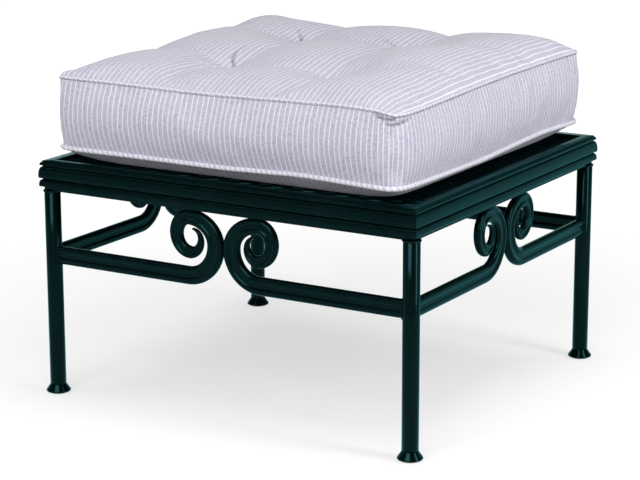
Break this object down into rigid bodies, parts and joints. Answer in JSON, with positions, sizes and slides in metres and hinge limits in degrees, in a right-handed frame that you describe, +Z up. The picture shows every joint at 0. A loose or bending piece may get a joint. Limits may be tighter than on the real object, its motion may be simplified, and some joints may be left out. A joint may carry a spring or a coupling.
{
  "type": "outdoor ottoman footstool",
  "caption": "Low patio ottoman: a dark powder coated metal frame with scrolled stretchers, flared feet and an expanded metal deck, under a loose tufted striped cushion.",
  "frame": {"origin": "on the floor under the middle of the frame", "axes": "+X along the wider front, +Y to the back, +Z up"},
  "size_m": [0.6174, 0.5774, 0.5002],
  "materials": {
    "frame_paint": "glossy very dark green powder coat",
    "glide_nylon": "moulded nylon",
    "cushion_cover": "pale grey lilac woven cloth with thin light stripes",
    "zip_tape": "woven zip tape",
    "cushion_foam": "open cell foam wrapped in wadding",
    "tuft_twine": "waxed twine",
    "zip_metal": "nickel plated"
  },
  "bodies": {
    "frame": {"rail_front": "frame_paint", "scroll_front_a": "frame_paint", "scroll_front_b": "frame_paint", "rail_right": "frame_paint", "scroll_right_a": "frame_paint", "scroll_right_b": "frame_paint", "rail_back": "frame_paint", "scroll_back_a": "frame_paint", "scroll_back_b": "frame_paint", "rail_left": "frame_paint", "scroll_left_a": "frame_paint", "scroll_left_b": "frame_paint", "leg_front_left": "frame_paint", "foot_front_left": "frame_paint", "leg_front_right": "frame_paint", "foot_front_right": "frame_paint", "leg_back_right": "frame_paint", "foot_back_right": "frame_paint", "leg_back_left": "frame_paint", "foot_back_left": "frame_paint", "glide_front_left": "glide_nylon", "glide_front_right": "glide_nylon", "glide_back_right": "glide_nylon", "glide_back_left": "glide_nylon", "deck_mesh": "frame_paint", "ledge_front": "frame_paint", "ledge_back": "frame_paint", "ledge_left": "frame_paint", "ledge_right": "frame_paint", "brace_left": "frame_paint", "brace_right": "frame_paint"},
    "cushion": {"cushion_top_panel": "cushion_cover", "cushion_bottom_panel": "cushion_cover", "cushion_boxing": "cushion_cover", "cushion_welt_top": "cushion_cover", "cushion_welt_bottom": "cushion_cover", "cushion_core": "cushion_foam", "tuft_tie_front_left": "tuft_twine", "tuft_tie_front_right": "tuft_twine", "tuft_tie_back_right": "tuft_twine", "tuft_tie_back_left": "tuft_twine", "zip_tape": "zip_tape"},
    "zip_slider": {"zip_slider": "zip_metal"}
  },
  "joints": [
    {"name": "cushion_lift", "type": "slide", "parent": "frame", "child": "cushion", "axis": [0, 0, 1], "range_m": [0, 0.15]},
    {"name": "zip_slide", "type": "slide", "parent": "cushion", "child": "zip_slider", "axis": [-1, 0, 0], "range_m": [0, 0.418]}
  ]
}
